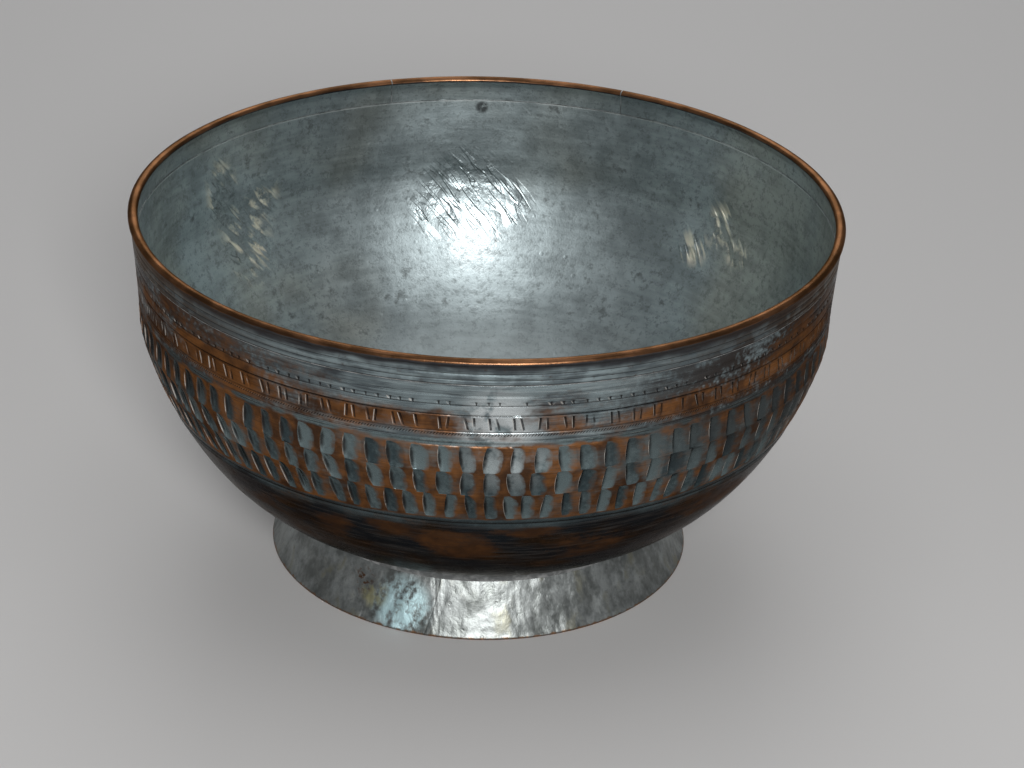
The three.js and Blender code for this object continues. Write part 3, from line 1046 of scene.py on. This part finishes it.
def inside_finish():
    """Tin wiped on by hand, dulled, with a burnished skin and pits."""
    f = Finish("inside_tin", Coat_Weight=0.35, Coat_Roughness=0.17)
    wide, broad, middle = f.noise(70, 2), f.noise(30, 4), f.noise(9, 5, 0.62)
    small, grain = f.noise(2.4, 4, 0.65), f.noise(0.7, 3)
    wiped = f.noise(2.0, 3, stretch=(9, 9, 1))
    parts = f.node("SeparateXYZ", {"Vector": f.place})
    turn = f.maths("ARCTAN2", parts["X"], parts["Y"])
    unrolled = f.node("CombineXYZ", {"X": f.times(turn, 0.115), "Y": parts["Z"]})["Vector"]
    slanted = f.node("Mapping", {"Vector": unrolled, "Rotation": (0, 0, math.radians(50))})["Vector"]
    strokes = f.noise(2.1, 1, 0.5, stretch=(7, 1, 1), vector=slanted)
    dents = f.cells(5.5, (1.6, 1, 1), slanted)["Distance"]
    tone = f.sum_of((broad, 0.4), (middle, 0.35), (wiped, 0.25))
    bluish = f.mix(f.band(tone, 0.38, 0.62), (0.26, 0.302, 0.31), (0.42, 0.486, 0.498))
    olive = f.mix(f.band(tone, 0.38, 0.62), (0.246, 0.264, 0.24), (0.414, 0.438, 0.402))
    colour = f.mix(f.band(wide, 0.38, 0.58), olive, bluish)
    colour = f.over(colour, f.sum_of((small, 0.7), (grain, 0.4)), 0.54, 0.68, 0.38, INSIDE_FLECK)
    colour = f.over(colour, f.sum_of((middle, 0.75), (small, 0.35)), 0.62, 0.76, 0.6, INSIDE_FLECK)
    colour = f.over(colour, f.height_at(), *BOTTOM_INSIDE, 0.5, (0.5, 0.555, 0.555))
    # A light line along the braze joint: the braze's own light colour, and a painted highlight on its ledge
    joint = f.times(f.band(f.height_at(), 0.1177, 0.1181), f.band(f.height_at(), 0.11845, 0.1183))
    colour = f.mix(f.times(f.times(joint, f.band(middle, 0.3, 0.55)), 0.65), colour, (0.8, 0.84, 0.82))
    stain = f.times(f.spot(*STAIN_SPOT), f.band(small, 0.3, 0.5))
    colour = f.mix(f.times(stain, 0.85), colour, (0.03, 0.032, 0.032))
    roughness = f.plus(0.42, f.sway(f.plus(middle, small), 0.16))
    hatched = f.times(f.painted("hatched"), f.band(f.sum_of((broad, 0.4), (middle, 0.6)), 0.38, 0.56))
    hatch = f.times(hatched, f.sway(f.band(strokes, 0.5, 0.58), 1.0))
    dents_and_glints = f.times(f.painted("dents_and_glints"), f.band(middle, 0.4, 0.52))
    beaten = f.times(f.plus(hatched, dents_and_glints), f.sway(dents, 1.0))
    roughness = f.mix_number(hatched, roughness, 0.34)
    roughness = f.mix_number(dents_and_glints, roughness, 0.52)
    # Painted glints: warm light facets on the dents
    painted_glints = f.times(dents_and_glints, f.band(f.sum_of((dents, -0.6), (strokes, 0.9)), 0.1, 0.3))
    colour = f.mix(painted_glints, colour, (0.95, 0.9, 0.74))
    relief = [(grain, 0.08, 0.5), (wiped, 0.08, 0.4), (small, 0.16, 0.45), (middle, 0.25, 0.4)]
    relief += [(hatch, 0.28, 0.8), (beaten, 0.75, 0.8), (f.pits(3.0, 0.08), -0.12, 0.5)]
    return f.finish(colour, roughness, relief, coated=True)


def rim_finish():
    """Bare worn copper on the lip, and tin on the faces of the band under it."""
    f = Finish("rim_copper", Coat_Weight=0.1, Coat_Roughness=0.2, Specular_Tint=(0.55, 0.45, 0.38, 1))
    middle, small, grain = f.noise(7, 4), f.noise(1.8, 3), f.noise(0.4, 2)
    streaks = f.noise(0.9, 3, stretch=(16, 16, 1))
    tone = f.sum_of((f.noise(18, 3), 0.6), (streaks, 0.4))
    copper = f.mix(f.band(tone, 0.38, 0.6), (0.26, 0.125, 0.06), (0.095, 0.045, 0.02))
    tin = f.mix(f.band(f.sum_of((middle, 0.5), (streaks, 0.5)), 0.4, 0.6), TIN_DULL, TIN_LIGHT)
    level = f.plus(f.height_at(), f.sway(middle, 0.001))
    # Brown film, and painted shade on the flanks of the band
    film_and_flank_shade = f.times(f.painted("film_and_flank_shade"), f.band(f.plus(middle, f.sway(streaks, 0.6)), 0.36, 0.56))
    tin = f.mix(film_and_flank_shade, tin, FILM_AND_SHADE)
    ragged = f.plus(level, f.sway(f.noise(15, 3), 0.005))
    # Dark stains and painted shade under the overhanging lip
    tin = f.over(tin, ragged, *UNDER_LIP, 0.88, (0.032, 0.03, 0.034))
    # Dirt and painted shade in the lines and the joint of the band
    tin = f.over(tin, f.plus(f.painted("sunk"), f.sway(small, 0.4)), 0.35, 0.85, 0.8, DIRT_AND_SHADE)
    colour = f.mix(f.band(level, *LIP_EDGE), tin, copper)
    colour = f.over(colour, small, 0.6, 0.75, 0.5, COPPER_DULL)
    roughness = f.plus(0.3, f.sway(f.plus(middle, small), 0.14))
    relief = [(grain, 0.05, 0.5), (streaks, 0.08, 0.4), (small, 0.12, 0.4), (middle, 0.35, 0.6)]
    return f.finish(colour, roughness, relief, coated=True)


def foot_finish():
    """Thick, brighter tin with bare patches, and a copper edge where the foot has rubbed."""
    f = Finish("foot_tin")
    broad, small, grain = f.noise(16, 4), f.noise(1.7, 4), f.noise(0.45, 2)
    middle = f.noise(4.5, 4, 0.55, stretch=(1, 1, 2.2))
    folds = f.noise(9, 2, 0.45, stretch=(1, 1, 2.2), twist=0.6)
    tone = f.sum_of((broad, 0.4), (middle, 0.4), (small, 0.2))
    colour = f.mix(f.band(tone, 0.38, 0.62), (0.17, 0.182, 0.174), (0.41, 0.435, 0.428))
    colour = f.over(colour, small, 0.58, 0.7, 0.4, (0.12, 0.125, 0.118))
    green = f.times(f.band(folds, 0.5, 0.66), f.band(middle, 0.46, 0.6))
    colour = f.mix(f.times(green, 0.55), colour, (0.24, 0.225, 0.14))
    # Blue tint on the foot's tin, lightened further as a painted highlight
    blue_and_highlight = f.times(f.spot(*BLUE_AND_HIGHLIGHT_SPOT), f.band(f.sum_of((middle, 0.6), (small, 0.4)), 0.4, 0.56))
    colour = f.mix(f.times(blue_and_highlight, 0.9), colour, (0.7, 0.96, 1.0))
    yellow = f.times(f.spot(*YELLOW_SPOT), f.band(middle, 0.4, 0.52))
    colour = f.mix(f.times(yellow, 0.75), colour, (0.4, 0.38, 0.2))
    bare = f.times(f.spot(*BARE_SPOT), f.band(small, 0.48, 0.6))
    edge = f.band(f.plus(f.height_at(), f.sway(small, 0.0016)), *FOOT_EDGE)
    copper = f.mix(f.band(small, 0.4, 0.6), (0.28, 0.16, 0.09), (0.12, 0.07, 0.045))
    colour = f.mix(f.maths("ADD", bare, edge, True), colour, copper)
    roughness = f.plus(0.33, f.sway(f.plus(middle, small), 0.24))
    relief = [(grain, 0.06, 0.5), (small, 0.16, 0.45), (middle, 0.5, 0.6), (folds, 1.2, 0.8)]
    relief.append((f.pits(2.2, 0.08), -0.12, 0.5))
    return f.finish(colour, roughness, relief)


def solder_finish():
    """Grey solder, left as it ran."""
    f = Finish("solder_grey")
    middle, small = f.noise(3.5, 4), f.noise(0.7, 3)
    colour = f.mix(f.band(middle, 0.4, 0.6), (0.26, 0.27, 0.27), (0.5, 0.51, 0.51))
    roughness = f.plus(0.4, f.sway(small, 0.2))
    return f.finish(colour, roughness, [(small, 0.1, 0.6), (middle, 0.4, 0.5)])


# Camera, floor and lamps

CAMERA_PLACE = (0.0, -0.86601, 0.49935)
CAMERA_TURN = (63.03643, -1.67004, 0.17838)
CAMERA_LENS = 98.47
CAMERA_NEAR = 0.05
SENSOR_WIDTH = 36.0
FLOOR_SIZE = 12.0
FLOOR_COLOUR = (0.62, 0.61, 0.6)
FLOOR_ROUGHNESS = 0.6
FLOOR_SHEEN = 0.2
WORLD_COLOUR = (0.19, 0.193, 0.2)
# Lamps: name, place, what it points at, size in metres, power in watts
LAMPS = (
    ("key", (0.11, -1.2, 0.67), (0, 0, 0.07), 0.28, 12.0),
    ("overhead", (0, 0.1, 1.9), (0, 0, 0), 1.4, 5.0),
    ("back", (0, 1.4, 1.1), (0, 0, 0.05), 1.0, 6.0),
)


def stand(name, data, place, turn):
    item = bpy.data.objects.new(name, data)
    item.location = place
    item.rotation_euler = turn
    bpy.context.scene.collection.objects.link(item)
    return item


def set_camera():
    data = bpy.data.cameras.new("camera")
    data.lens = CAMERA_LENS
    data.sensor_width = SENSOR_WIDTH
    data.clip_start = CAMERA_NEAR
    turn = [math.radians(angle) for angle in CAMERA_TURN]
    bpy.context.scene.camera = stand("camera", data, CAMERA_PLACE, turn)


def area_lamp(name, place, aim, size, power):
    data = bpy.data.lights.new(name, "AREA")
    data.shape = "RECTANGLE"
    data.size = data.size_y = size
    data.energy = power
    stand(name, data, place, (Vector(aim) - Vector(place)).to_track_quat("-Z", "Y").to_euler())


def set_floor():
    bpy.ops.object.select_all(action="DESELECT")
    bpy.ops.mesh.primitive_plane_add(size=FLOOR_SIZE, location=(0, 0, 0))
    floor = bpy.context.object
    floor.name = "floor"
    paint_floor = bpy.data.materials.new("pale_floor")
    paint_floor.use_nodes = True
    shader = paint_floor.node_tree.nodes["Principled BSDF"]
    shader.inputs["Base Color"].default_value = (*FLOOR_COLOUR, 1)
    shader.inputs["Roughness"].default_value = FLOOR_ROUGHNESS
    shader.inputs["Specular IOR Level"].default_value = FLOOR_SHEEN
    floor.data.materials.append(paint_floor)


def set_lamps():
    world = bpy.data.worlds.new("studio")
    world.use_nodes = True
    sky = world.node_tree.nodes["Background"]
    sky.inputs["Color"].default_value = (*WORLD_COLOUR, 1)
    sky.inputs["Strength"].default_value = 1.0
    bpy.context.scene.world = world
    for lamp in LAMPS:
        area_lamp(*lamp)


# Assembly

def place(piece, finishes, slot, *nodes):
    """Gives a piece its finish, and puts it on the bowl in place of the plain solids that it stands for."""
    piece.data.materials.clear()
    for finish in finishes:
        piece.data.materials.append(finish)
    select_only(piece)
    bpy.ops.object.shade_smooth_by_angle(angle=math.radians(SHARP_ANGLE))
    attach(piece, "root")
    if nodes:
        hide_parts(*nodes)


set_camera()
set_floor()
set_lamps()

body = body_shell()
paint_body(body)
place(body, [outside_finish(), inside_finish()], "worn_tin_on_copper", "bowl_shell")
finish_inside(body)

inner = body.data.materials[1]
rim = rim_finish()
solder = solder_finish()
band_front, band_back = rim_bands()
place(band_front, [rim, inner], "bare_copper", "rim_band_long")
place(band_back, [rim, inner], "bare_copper", "rim_band_insert")
finish_band_inside(band_front)
finish_band_inside(band_back)
for run in rim_braze():
    place(run, [solder], "solder")
place(foot_ring(), [foot_finish()], "bright_tin_on_copper", "foot_ring")
place(solder_fillet("foot_fillet_outer", 1, 71), [solder], "solder", "foot_solder_outer")
place(solder_fillet("foot_fillet_inner", -1, 72), [solder], "solder", "foot_solder_inner")

bpy.context.scene.view_settings.view_transform = "Standard"
